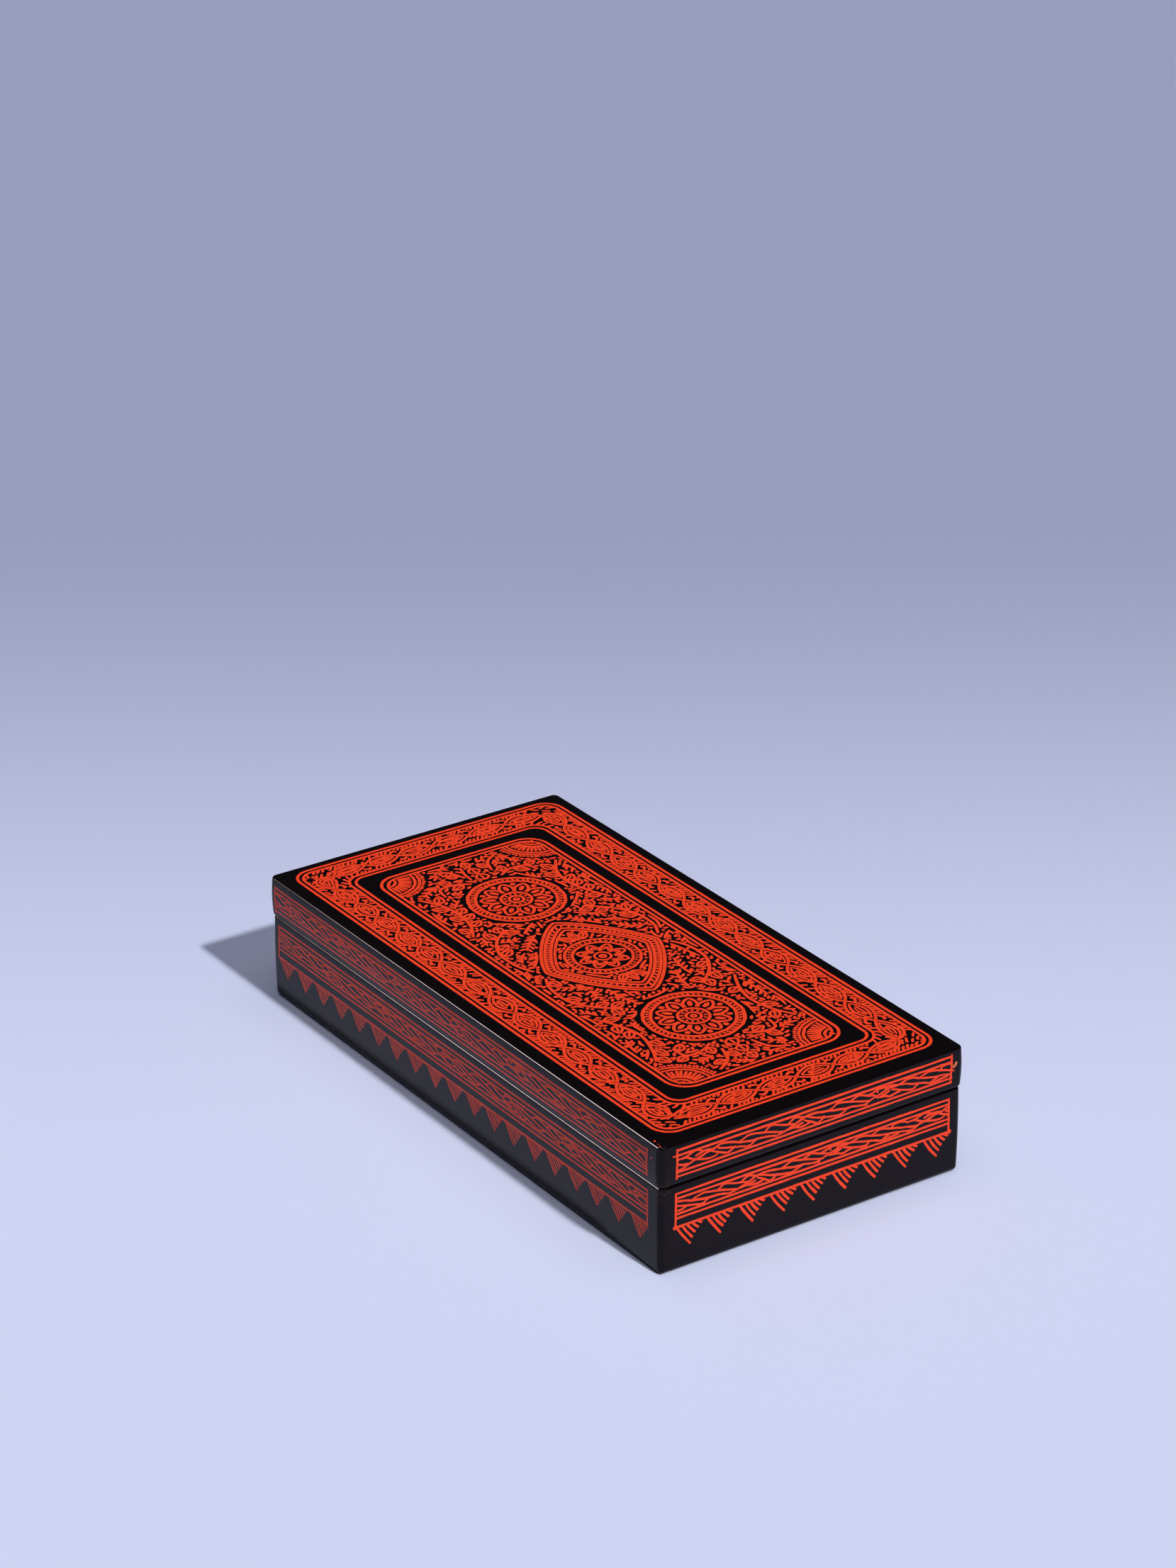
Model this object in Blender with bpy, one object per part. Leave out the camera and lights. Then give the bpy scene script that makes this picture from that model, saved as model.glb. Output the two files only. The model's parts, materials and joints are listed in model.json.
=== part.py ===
"""Lacquer box with a lift-off lid.

A low rectangular wooden box, black lacquered inside and out. The body is a tray whose walls carry a
raised inner rim. The lid is a shallow cap that comes down outside that rim and rests on the ledge
around it, so lid and body meet in one seam with their sides almost flush.

Long side along X, short side along Y, standing on Z = 0 with the origin under its middle.
"""
import math

import bmesh
import bpy

# Driving dimensions of the body, in metres
BODY_LENGTH = 0.2290
BODY_WIDTH = 0.1160
BODY_HEIGHT = 0.0301  # from the underside to the ledge that the lid rests on
BODY_WALL = 0.0048
FLOOR_THICKNESS = 0.0040
BODY_CORNER_RADIUS = 0.0020  # upright corners, seen from above
BODY_SIDE_CROWN = 0.0002  # how far a side swells between its bottom and its top
BODY_BOTTOM_ROUND = 0.0018
BODY_TOP_ROUND = 0.0008

# The raised inner rim that locates the lid
RIM_HEIGHT = 0.0060
RIM_WALL = 0.0018
RIM_ROUND = 0.0005
RIM_CORNER_RADIUS = 0.0020
HOLLOW_CORNER_RADIUS = 0.0015
HOLLOW_FLOOR_ROUND = 0.0015

# The lid
LID_HEIGHT = 0.0141
LID_OVERHANG = 0.0005  # how far the lid's sides stand out past the body's
LID_TOP_THICKNESS = 0.0035
LID_SIDE_CROWN = 0.0003
LID_TOP_ROUND = 0.0007
LID_LOWER_ROUND = 0.0010
LID_INNER_ROUND = 0.0010  # where the lid's walls meet its ceiling
LID_MOUTH_CHAMFER = 0.0003  # eases the lid over the rim

# Clearances
SEAM_GAP = 0.0003  # between the body's ledge and the lid that rests on it
RIM_CLEARANCE = 0.0003  # between the rim and the lid's walls

# How finely curves are cut
CORNER_STEPS = 8
ROUND_STEPS = 5
CROWN_STEPS = 8

SMALLEST_RADIUS = 0.0001
BLACK_LACQUER = (0.012, 0.011, 0.013, 1.0)


def corner_loop(half_length, half_width, radius, z):
    """Points of a rectangle with rounded corners, seen from above, anticlockwise."""
    radius = max(radius, SMALLEST_RADIUS)
    points = []
    for quarter, (side_x, side_y) in enumerate(((1, 1), (-1, 1), (-1, -1), (1, -1))):
        centre_x = side_x * (half_length - radius)
        centre_y = side_y * (half_width - radius)
        for step in range(CORNER_STEPS + 1):
            angle = math.radians(90) * (quarter + step / CORNER_STEPS)
            points.append((centre_x + radius * math.cos(angle), centre_y + radius * math.sin(angle), z))
    return points


def outer_loop(length, width, corner_radius, inset, z):
    """A loop on an outside face, which keeps its corners concentric as it is inset."""
    return corner_loop(length / 2 - inset, width / 2 - inset, corner_radius - inset, z)


def inner_loop(length, width, corner_radius, inset, z):
    """A loop on an inside face, with a corner radius of its own."""
    return corner_loop(length / 2 - inset, width / 2 - inset, corner_radius, z)


def quarter_round(radius):
    """Steps of a quarter circle that turns an upright face into a level one: (inset, rise)."""
    steps = []
    for step in range(ROUND_STEPS + 1):
        angle = math.radians(90) * step / ROUND_STEPS
        steps.append((radius * (1 - math.cos(angle)), radius * math.sin(angle)))
    return steps


def crowned_side(low, high, crown):
    """Steps up a side that swells by the crown half way up, without its two ends: (inset, z)."""
    steps = []
    for step in range(1, CROWN_STEPS):
        share = step / CROWN_STEPS
        steps.append((crown * (2 * share - 1) ** 2, low + (high - low) * share))
    return steps


def body_loops():
    """Loops from the underside, up the outside, over the rim and down to the floor of the hollow."""
    def outside(inset, z):
        return outer_loop(BODY_LENGTH, BODY_WIDTH, BODY_CORNER_RADIUS, inset, z)

    ledge = BODY_WALL - RIM_WALL
    rim_top = BODY_HEIGHT + RIM_HEIGHT
    side_low = BODY_BOTTOM_ROUND
    side_high = BODY_HEIGHT - BODY_TOP_ROUND
    loops = []
    for inset, rise in reversed(quarter_round(BODY_BOTTOM_ROUND)):
        loops.append(outside(BODY_SIDE_CROWN + inset, side_low - rise))
    for inset, z in crowned_side(side_low, side_high, BODY_SIDE_CROWN):
        loops.append(outside(inset, z))
    for inset, rise in quarter_round(BODY_TOP_ROUND):
        loops.append(outside(BODY_SIDE_CROWN + inset, side_high + rise))

    def rim_face(inset, z):
        radius = RIM_CORNER_RADIUS - (inset - ledge)
        return inner_loop(BODY_LENGTH, BODY_WIDTH, radius, inset, z)

    loops.append(rim_face(ledge, BODY_HEIGHT))
    for inset, rise in quarter_round(RIM_ROUND):
        loops.append(rim_face(ledge + inset, rim_top - RIM_ROUND + rise))

    def hollow_face(inset, z):
        radius = HOLLOW_CORNER_RADIUS + (BODY_WALL - inset)
        return inner_loop(BODY_LENGTH, BODY_WIDTH, radius, inset, z)

    for inset, rise in reversed(quarter_round(RIM_ROUND)):
        loops.append(hollow_face(BODY_WALL - inset, rim_top - RIM_ROUND + rise))
    for inset, rise in quarter_round(HOLLOW_FLOOR_ROUND):
        loops.append(hollow_face(BODY_WALL + inset, FLOOR_THICKNESS + HOLLOW_FLOOR_ROUND - rise))
    return loops


def lid_loops():
    """Loops from the ceiling inside the lid, down its inner walls and up the outside to its top."""
    length = BODY_LENGTH + 2 * LID_OVERHANG
    width = BODY_WIDTH + 2 * LID_OVERHANG
    bottom = BODY_HEIGHT + SEAM_GAP
    top = bottom + LID_HEIGHT
    ceiling = top - LID_TOP_THICKNESS
    wall = LID_OVERHANG + BODY_WALL - RIM_WALL - RIM_CLEARANCE
    inner_radius = RIM_CORNER_RADIUS + RIM_CLEARANCE

    def inside(inset, z):
        return inner_loop(length, width, inner_radius + (wall - inset), inset, z)

    def outside(inset, z):
        return outer_loop(length, width, BODY_CORNER_RADIUS + LID_OVERHANG, inset, z)

    loops = []
    for inset, rise in reversed(quarter_round(LID_INNER_ROUND)):
        loops.append(inside(wall + inset, ceiling - LID_INNER_ROUND + rise))
    loops.append(inside(wall, bottom + LID_MOUTH_CHAMFER))
    loops.append(inside(wall - LID_MOUTH_CHAMFER, bottom))
    side_low = bottom + LID_LOWER_ROUND
    side_high = top - LID_TOP_ROUND
    for inset, rise in reversed(quarter_round(LID_LOWER_ROUND)):
        loops.append(outside(LID_SIDE_CROWN + inset, side_low - rise))
    for inset, z in crowned_side(side_low, side_high, LID_SIDE_CROWN):
        loops.append(outside(inset, z))
    for inset, rise in quarter_round(LID_TOP_ROUND):
        loops.append(outside(LID_SIDE_CROWN + inset, side_high + rise))
    return loops


def lacquer(name):
    """Polished black lacquer."""
    material = bpy.data.materials.new(name)
    material.use_nodes = True
    shader = material.node_tree.nodes["Principled BSDF"]
    shader.inputs["Base Color"].default_value = BLACK_LACQUER
    shader.inputs["Roughness"].default_value = 0.12
    shader.inputs["Metallic"].default_value = 0.0
    return material


def closed_solid(name, loops, material):
    """Joins the loops one to the next and caps the first and the last, which makes one closed body."""
    bm = bmesh.new()
    rings = []
    for loop in loops:
        rings.append([bm.verts.new(point) for point in loop])
    count = len(rings[0])
    for lower, upper in zip(rings, rings[1:]):
        for i in range(count):
            j = (i + 1) % count
            bm.faces.new((lower[i], lower[j], upper[j], upper[i]))
    bm.faces.new(rings[0])
    bm.faces.new(rings[-1])
    bmesh.ops.recalc_face_normals(bm, faces=bm.faces)
    mesh = bpy.data.meshes.new(name)
    bm.to_mesh(mesh)
    bm.free()
    mesh.shade_smooth()
    mesh.set_sharp_from_angle(angle=math.radians(35))
    mesh.materials.append(material)
    solid = bpy.data.objects.new(name, mesh)
    bpy.context.scene.collection.objects.link(solid)
    return solid


def main():
    for thing in list(bpy.data.objects):
        bpy.data.objects.remove(thing)
    closed_solid("box_body", body_loops(), lacquer("body black lacquer"))
    closed_solid("lid", lid_loops(), lacquer("lid black lacquer"))


main()
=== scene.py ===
# %% [markdown]
# # A black lacquer box, drawn on in red
#
# The real object is a low wooden box with a lid that lifts off. It is lacquered black and rubbed to
# a mirror. Its pattern is cut into the black with a graver, filled with red lacquer and rubbed down
# again, so the red lies flush: it is drawing, not relief.
#
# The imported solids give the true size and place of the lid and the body. They are loaded first and
# never moved. What is made here is the finish: smooth black skins and the red line work.

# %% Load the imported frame
import json
import math
import random

import bpy
from mathutils import Matrix, Vector
from mathutils.geometry import interpolate_bezier

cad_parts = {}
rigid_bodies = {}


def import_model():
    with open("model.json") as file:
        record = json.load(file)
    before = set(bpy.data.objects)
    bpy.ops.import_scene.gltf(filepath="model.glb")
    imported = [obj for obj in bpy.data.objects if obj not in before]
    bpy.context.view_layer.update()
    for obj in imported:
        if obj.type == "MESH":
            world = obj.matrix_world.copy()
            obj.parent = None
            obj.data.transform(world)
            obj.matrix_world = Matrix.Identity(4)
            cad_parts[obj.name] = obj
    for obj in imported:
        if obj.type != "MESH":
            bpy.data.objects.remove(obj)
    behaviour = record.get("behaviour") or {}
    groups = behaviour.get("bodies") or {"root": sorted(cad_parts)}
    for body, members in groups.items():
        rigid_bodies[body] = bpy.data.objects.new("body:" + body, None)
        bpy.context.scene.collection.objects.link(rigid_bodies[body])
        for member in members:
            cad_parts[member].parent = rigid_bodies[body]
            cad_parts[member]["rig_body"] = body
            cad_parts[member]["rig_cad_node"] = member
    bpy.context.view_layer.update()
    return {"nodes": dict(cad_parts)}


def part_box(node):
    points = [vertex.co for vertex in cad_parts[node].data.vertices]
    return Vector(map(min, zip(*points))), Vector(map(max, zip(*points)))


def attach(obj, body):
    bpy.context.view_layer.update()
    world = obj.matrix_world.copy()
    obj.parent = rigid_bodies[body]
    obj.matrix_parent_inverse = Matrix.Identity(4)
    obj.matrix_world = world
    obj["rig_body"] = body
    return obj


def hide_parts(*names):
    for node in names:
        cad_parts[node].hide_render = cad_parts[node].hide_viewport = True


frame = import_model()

MM = 0.001  # one millimetre in metres
lid_low, lid_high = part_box("lid")
print("the lid alone, mm:", [round(v / MM, 1) for v in lid_high - lid_low])

# %% [markdown]
# ## Working by hand in a script
#
# Blender's operators act on whatever is selected, so each step starts by letting go of everything
# and picking up one thing. One small helper does that all through this file. A second one is for a
# piece whose shape is done: it gives it a material and says what it moves with.

# %% Helpers for picking things up
def pick(thing):
    """Lets go of everything else and makes one thing the selected and active one."""
    bpy.ops.object.select_all(action="DESELECT")
    thing.select_set(True)
    bpy.context.view_layer.objects.active = thing
    return thing


def finished(piece, material):
    """Gives a piece its material and the body that it moves with."""
    piece.data.materials.clear()
    piece.data.materials.append(material)
    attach(piece, "root")


print("picked:", pick(frame["nodes"]["lid"]).name)

# %% [markdown]
# ## Colours and nodes
#
# Colours are written as the hex values that one reads off a picture. Shaders work in linear light,
# so one function turns the one into the other. A second small function adds a shader node with its
# settings and links, and a third links one socket to another, which keeps each material short enough
# to read as a recipe.

# %% Colour and node helpers
def linear(hex_colour):
    """An sRGB hex colour as the linear colour that shaders use."""
    channels = []
    for place in (1, 3, 5):
        value = int(hex_colour[place:place + 2], 16) / 255
        channels.append(value / 12.92 if value <= 0.04045 else ((value + 0.055) / 1.055) ** 2.4)
    return (*channels, 1.0)


def feed(output, socket):
    """Links an output to the socket that it feeds."""
    output.id_data.links.new(output, socket)


def add_node(material, kind, settings=None, **links):
    """Adds a node. Settings are its properties and values, links are the outputs that feed it."""
    node = material.node_tree.nodes.new(kind)
    for name, value in (settings or {}).items():
        if name in node.inputs:
            node.inputs[name].default_value = value
        else:
            setattr(node, name, value)
    for name, output in links.items():
        feed(output, node.inputs[name.replace("_", " ")])
    return node


def new_material(name):
    """An empty material with its shader, ready for links."""
    material = bpy.data.materials.new(name)
    material.use_nodes = True
    return material, material.node_tree.nodes["Principled BSDF"]


print("black #080506 in linear light:", [round(v, 4) for v in linear("#080506")])

# %% [markdown]
# ## The camera
#
# The camera was worked out from the box's ten visible corners. It stands a metre and a half away, off
# the corner between the front and the right side, and looks down at about 25 degrees. A long lens
# keeps the far edges nearly parallel.

# %% Place the camera
CAMERA_AZIMUTH = math.radians(55.80)
CAMERA_ELEVATION = math.radians(24.75)
CAMERA_ROLL = math.radians(-0.21)
CAMERA_DISTANCE = 1.5126  # m
CAMERA_RIGHT = -0.0053  # m, how far the aim lies beside the origin
CAMERA_UP = 0.0970      # and how far above it
CAMERA_LENS = 105.35    # mm

level = Vector((math.cos(CAMERA_AZIMUTH), math.sin(CAMERA_AZIMUTH), 0))
away = Vector((math.sin(CAMERA_AZIMUTH), -math.cos(CAMERA_AZIMUTH), 0))
backward = away * math.cos(CAMERA_ELEVATION) + Vector((0, 0, math.sin(CAMERA_ELEVATION)))
upward = backward.cross(level)
rightward = level * math.cos(CAMERA_ROLL) + upward * math.sin(CAMERA_ROLL)
upward = backward.cross(rightward)
spot = backward * CAMERA_DISTANCE + rightward * CAMERA_RIGHT + upward * CAMERA_UP
turn = Matrix((rightward, upward, backward)).transposed()
bpy.ops.object.camera_add(location=spot, rotation=turn.to_euler())
camera = bpy.context.object
camera.data.lens = CAMERA_LENS
camera.data.clip_start = 0.05  # m, things nearer than this would be cut away
bpy.context.scene.camera = camera
bpy.context.scene.view_settings.view_transform = "Standard"
print("camera at, m:", [round(v, 3) for v in spot])

# %% [markdown]
# ## Floor and light
#
# Polished black has no colour of its own: one sees the room in it, so the light decides the look.
# The box stands on a sheet of blue-grey studio paper. Its colour is pale in front and darker towards the
# back: a painted shade that stands in for the light falling off away from the lamps. The key light stands
# on the right, 44 degrees up and small enough to give the shadow an edge, so the top and the short side
# are bright and the long side keeps to the light that the paper throws back. A broad pale light overhead
# softens the shadow. A soft panel to the left shows only in the polish: the long edges catch it as a white
# hairline. Behind the box the room stays dark, and the lid's top mirrors that as a deep black.

# %% The floor
FLOOR_SIDE = 12.0       # m
FLOOR_DROP = 0.05 * MM  # keeps the underside and the floor from lying in one plane
# Painted shade: the paper's colour darkens between these two distances behind the box, in place of light
# that falls off towards the back.
PAINTED_SHADE_START = -0.09     # m behind the middle of the box, where the paper starts to darken
PAINTED_SHADE_END = 0.52        # and where it is darkest
PAPER_PALE = "#C2C8E3"
PAPER_PAINTED_SHADE = "#9094B1"
PAPER_FIBRES = 900.0    # to the metre, coarser than real ones so that they show

floor_paper, shader = new_material("paper_floor_with_painted_shade")
place = add_node(floor_paper, "ShaderNodeTexCoord").outputs["Object"]
turned = add_node(floor_paper, "ShaderNodeMapping", {"Rotation": (0, 0, -CAMERA_AZIMUTH)}, Vector=place)
ways = add_node(floor_paper, "ShaderNodeSeparateXYZ", Vector=turned.outputs["Vector"])
# Painted shade: the farther a point lies behind the box, as seen from the camera, the darker its colour.
painted_falloff = add_node(floor_paper, "ShaderNodeMapRange",
                 {"interpolation_type": "SMOOTHSTEP", "From Min": PAINTED_SHADE_START, "From Max": PAINTED_SHADE_END},
                 Value=ways.outputs["Y"])
tone = add_node(floor_paper, "ShaderNodeMix",
                {"data_type": "RGBA", "A": linear(PAPER_PALE), "B": linear(PAPER_PAINTED_SHADE)},
                Factor=painted_falloff.outputs["Result"])
fibre = add_node(floor_paper, "ShaderNodeTexNoise", {"Scale": PAPER_FIBRES, "Detail": 3.0}, Vector=place)
fleck = add_node(floor_paper, "ShaderNodeMapRange", {"To Min": 0.985, "To Max": 1.015},
                 Value=fibre.outputs["Fac"])
paper = add_node(floor_paper, "ShaderNodeMix",
                 {"data_type": "RGBA", "blend_type": "MULTIPLY", "Factor": 1.0},
                 A=tone.outputs["Result"], B=fleck.outputs["Result"])
feed(paper.outputs["Result"], shader.inputs["Base Color"])
shader.inputs["Roughness"].default_value = 0.9
shader.inputs["Specular IOR Level"].default_value = 0.0

bpy.ops.object.select_all(action="DESELECT")
bpy.ops.mesh.primitive_plane_add(size=FLOOR_SIDE, location=(0, 0, -FLOOR_DROP))
floor = bpy.context.object
floor.name = "paper_floor"
bpy.ops.object.transform_apply(location=True)
floor.data.materials.append(floor_paper)
print("floor side, m:", FLOOR_SIDE)

# %% The lights
def aim(light, direction, distance):
    """Puts a light at a distance from the box in a direction, facing it."""
    towards = Vector(direction).normalized()
    light.location = towards * distance
    light.rotation_euler = towards.to_track_quat("Z", "Y").to_euler()


FAR_PLACE = 3.0  # m, where a far light's mark stands, which makes no difference to its light


def far_light(name, direction, strength, spread, colour):
    """A light so far off that it is even all over the floor. Spread is its width in degrees."""
    bpy.ops.object.light_add(type="SUN")
    light = bpy.context.object
    light.name = name
    aim(light, direction, FAR_PLACE)
    light.data.energy = strength
    light.data.angle = math.radians(spread)
    light.data.color = linear(colour)[:3]


def near_light(name, direction, distance, width, height, watts, colour):
    """A flat soft panel that only shows in the polish."""
    bpy.ops.object.light_add(type="AREA")
    light = bpy.context.object
    light.name = name
    aim(light, direction, distance)
    light.data.shape = "RECTANGLE"
    light.data.size = width
    light.data.size_y = height
    light.data.energy = watts
    light.data.color = linear(colour)[:3]
    light.visible_diffuse = False


far_light("key_light", (1.034, 0.074, 1.0), 3.45, 3.0, "#FFFEFB")
far_light("overhead_light", (0.08, 0.0, 1.0), 1.2, 60, "#F6F8FF")
near_light("left_panel", (-0.54, -0.52, 0.66), 1.6, 0.8, 0.9, 115, "#FFF4F0")

room = bpy.data.worlds.new("dim_room")
room.use_nodes = True
surroundings = room.node_tree.nodes["Background"]
surroundings.inputs["Color"].default_value = linear("#C9CEE8")
surroundings.inputs["Strength"].default_value = 0.05
bpy.context.scene.world = room

# %% [markdown]
# ## Black lacquer
#
# Dozens of thin coats are brushed on, cut back with charcoal and polished with oil and powder. That
# gives the eye a black with no depth of its own under a hard, wet gloss. Up close there is a slow
# swell from the brush and the charcoal, faint hairlines from wiping, and on the body's corner nearest
# the viewer a little brown, where handling has thinned the black. Three noises make these: one bends
# the surface, one varies the gloss and one lets the brown through. They are worked out from the place
# on the box, so they need no picture and leave no seam at an edge.

# %% The black lacquer material
SWELL = 18.0 * MM       # one slow wave left by the flat polishing block
SWELL_HEIGHT = 0.2 * MM  # before it is toned down
WIPING = 0.6 * MM       # across a wiping hairline, drawn wider than it is so that it shows
WORN_CORNER = (114.0 * MM, -57.6 * MM, 29.5 * MM)  # where the body's top edge meets the nearest corner
WORN_CORE = 0.8 * MM    # how far from there it is worn most
WORN_REACH = 5.5 * MM   # and how far the wear goes
SCUFF = 0.9 * MM        # size of a spot that handling has thinned
COAT_BLACK = "#080506"
COAT_THINNED = "#4A2C1A"
LACQUER_IOR = 1.52      # as for a hard natural resin

black_lacquer, shader = new_material("polished_black_lacquer")
place = add_node(black_lacquer, "ShaderNodeTexCoord").outputs["Object"]
swell = add_node(black_lacquer, "ShaderNodeTexNoise",
                 {"Scale": 1 / SWELL, "Detail": 1.0}, Vector=place)
streak_place = add_node(black_lacquer, "ShaderNodeMapping", {"Scale": (0.04, 1.0, 1.0)}, Vector=place)
wiping = add_node(black_lacquer, "ShaderNodeTexNoise", {"Scale": 1 / WIPING, "Detail": 4.0},
                  Vector=streak_place.outputs["Vector"])
gloss = add_node(black_lacquer, "ShaderNodeMapRange",
                 {"From Min": 0.3, "From Max": 0.75, "To Min": 0.045, "To Max": 0.10},
                 Value=wiping.outputs["Fac"])
feed(gloss.outputs["Result"], shader.inputs["Roughness"])
bump = add_node(black_lacquer, "ShaderNodeBump", {"Strength": 0.05, "Distance": SWELL_HEIGHT},
                Height=swell.outputs["Fac"])
feed(bump.outputs["Normal"], shader.inputs["Normal"])
reach = add_node(black_lacquer, "ShaderNodeVectorMath", {"operation": "DISTANCE"}, Vector=place)
reach.inputs[1].default_value = WORN_CORNER
handled = add_node(black_lacquer, "ShaderNodeMapRange",
                   {"From Min": WORN_CORE, "From Max": WORN_REACH, "To Min": 1.0, "To Max": 0.0},
                   Value=reach.outputs["Value"])
scuffs = add_node(black_lacquer, "ShaderNodeTexNoise", {"Scale": 1 / SCUFF, "Detail": 3.0}, Vector=place)
bare = add_node(black_lacquer, "ShaderNodeMapRange",
                {"From Min": 0.5, "From Max": 0.66, "To Min": 0.0, "To Max": 0.5},
                Value=scuffs.outputs["Fac"])
thinned = add_node(black_lacquer, "ShaderNodeMath", {"operation": "MULTIPLY"})
feed(handled.outputs["Result"], thinned.inputs[0])
feed(bare.outputs["Result"], thinned.inputs[1])
coat = add_node(black_lacquer, "ShaderNodeMix",
                {"data_type": "RGBA", "A": linear(COAT_BLACK), "B": linear(COAT_THINNED)},
                Factor=thinned.outputs["Value"])
feed(coat.outputs["Result"], shader.inputs["Base Color"])
shader.inputs["IOR"].default_value = LACQUER_IOR
shader.inputs["Specular IOR Level"].default_value = 0.145  # matched to the real sides, as the tint is
shader.inputs["Specular Tint"].default_value = (1.0, 0.86, 0.93, 1.0)
print("nodes in the black:", len(black_lacquer.node_tree.nodes))

# %% [markdown]
# ## The two black skins
#
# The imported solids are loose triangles, which would show every facet in a mirror polish. A copy of
# each is merged into one skin, its shading is made smooth, and a Weighted Normal modifier lets the
# big flat faces rule over the small ones of the rounded edges, so a side reflects as one sheet.

# %% Copy and smooth the solids
EDGE_ANGLE = math.radians(40)  # edges that turn by more stay sharp
MERGE = 0.001 * MM             # corners nearer to each other than this become one


def black_skin(node, name):
    """A merged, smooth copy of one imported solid, which stands for it."""
    pick(frame["nodes"][node])
    bpy.ops.object.duplicate()
    skin = bpy.context.object
    skin.name = name
    skin.data.name = name
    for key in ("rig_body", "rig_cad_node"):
        del skin[key]
    bpy.ops.object.mode_set(mode="EDIT")
    bpy.ops.mesh.select_all(action="SELECT")
    bpy.ops.mesh.remove_doubles(threshold=MERGE)
    bpy.ops.mesh.customdata_custom_splitnormals_clear()
    bpy.ops.object.mode_set(mode="OBJECT")
    bpy.ops.object.shade_smooth_by_angle(angle=EDGE_ANGLE)
    skin.modifiers.new("even_normals", "WEIGHTED_NORMAL").keep_sharp = True
    bpy.ops.object.modifier_apply(modifier="even_normals")
    finished(skin, black_lacquer)
    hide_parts(node)
    print(name, "triangles:", len(skin.data.polygons))
    return skin


lid_skin = black_skin("lid", "lid_black_skin")
body_skin = black_skin("box_body", "body_black_skin")

# %% [markdown]
# ## Cutting a line
#
# Each red line is one stroke of a graver: a path and a width that swells and thins. It could be a painted
# texture, but a line that is a thin solid keeps a crisp edge at any distance. So a stroke is a curve,
# drawn flat on a sheet with a straight nib as its profile.
# The sheet is made a mesh, given the thickness of the filling, and laid on the box: every corner of
# it goes straight down onto the wall under it, as a transfer is laid on a cup. Strokes that cross
# lie a hair above one another, so that no two faces share one plane.

# %% The graver
FILLING = 0.06       # mm, thickness of the red filling, most of it below the surface
PROUD = 0.012        # mm that the lowest stroke stands above the black
LAYERS = 37          # strokes take turns on this many levels
LAYER_STEP = 0.0006  # mm between two levels
hand = random.Random(11)

nib_line = bpy.data.curves.new("nib", "CURVE")
nib_line.splines.new("POLY").points.add(1)
nib_line.splines[0].points[0].co = (-0.5, 0, 0, 1)
nib_line.splines[0].points[1].co = (0.5, 0, 0, 1)
nib = bpy.data.objects.new("nib", nib_line)
bpy.context.scene.collection.objects.link(nib)


def cut(sheet, points, width, start=0.7, end=0.7, closed=False):
    """Adds a stroke to a sheet: points and width in mm, and the share of it that each end has."""
    sheet.append((points, width, start, end, closed))


def smooth(points, steps=4):
    """A smooth run through a few given points."""
    points = [Vector(point) for point in points]
    padded = [points[0], *points, points[-1]]
    run = [points[0]]
    for before, here, there, after in zip(padded, padded[1:], padded[2:], padded[3:]):
        lean_out = here + (there - before) / 6
        lean_in = there - (after - here) / 6
        run.extend(interpolate_bezier(here, lean_out, lean_in, there, steps + 1)[1:])
    return run


print("levels of strokes reach up to, mm:", round(PROUD + (LAYERS - 1) * LAYER_STEP, 3))

# %% Lay the strokes on the box
TAPER = 3.5         # a stroke reaches its full width at 1 / TAPER of its length
LETTING_DOWN = 0.2  # m above a face, from where its sheet is let down
EAST, NORTH, UP = Vector((1, 0, 0)), Vector((0, 1, 0)), Vector((0, 0, 1))


def sheet_to_mesh(name, sheet, waver):
    """Draws a sheet's strokes with the nib and gives them their thickness, lying flat."""
    drawing = bpy.data.curves.new(name, "CURVE")
    drawing.dimensions = "3D"
    drawing.twist_mode = "Z_UP"
    drawing.bevel_mode = "OBJECT"
    drawing.bevel_object = nib
    for number, (points, width, start, end, closed) in enumerate(sheet):
        spline = drawing.splines.new("POLY")
        spline.points.add(len(points) - 1)
        spline.use_cyclic_u = closed
        lift = PROUD - FILLING / 2 + LAYER_STEP * (number % LAYERS)
        last = max(1, len(points) - 1)
        for index, point in enumerate(points):
            share = index / last
            entering = start + (1 - start) * share * TAPER
            leaving = end + (1 - end) * (1 - share) * TAPER
            full = 1 if closed else min(1, entering, leaving)
            spline.points[index].co = (point[0] * MM, point[1] * MM, lift * MM, 1)
            spline.points[index].radius = width * MM * full * hand.uniform(1 - waver, 1 + waver)
    piece = bpy.data.objects.new(name, drawing)
    bpy.context.scene.collection.objects.link(piece)
    pick(piece)
    bpy.ops.object.convert(target="MESH")
    piece = bpy.context.object
    thick = piece.modifiers.new("filling", "SOLIDIFY")
    thick.thickness = FILLING * MM
    thick.offset = 0
    bpy.ops.object.modifier_apply(modifier="filling")
    bpy.ops.object.shade_flat()
    return piece


def lay_on(piece, skin, across, up):
    """Lays a flat sheet on one face of a skin. Its x runs across, its y runs up."""
    out = across.cross(up)
    for corner in piece.data.vertices:
        flat = corner.co
        above = across * flat.x + up * flat.y + out * LETTING_DOWN
        hit, place, normal, face = skin.ray_cast(above, -out)
        corner.co = (place if hit else above) + out * flat.z
    piece.data.update()


def inlay(name, sheet, skin, across, up, material, waver=0.07):
    """Makes the red lines of one sheet, laid on one face. Waver is how uneven their width is."""
    piece = sheet_to_mesh(name, sheet, waver)
    lay_on(piece, skin, across, up)
    finished(piece, material)
    piece.data.calc_loop_triangles()
    print(name, "strokes:", len(sheet), "triangles:", len(piece.data.loop_triangles))


print("a sheet is let down from, m:", LETTING_DOWN)

# %% [markdown]
# ## Red lacquer
#
# The filling is the same clear lacquer with vermilion ground into it. The pigment makes it opaque,
# a warm orange-red, and it takes nearly the same polish as the black around it. It was rubbed in by
# hand, so its colour is a little uneven: a slow noise goes between two reds, and a fine one darkens
# the clots of pigment.

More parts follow.
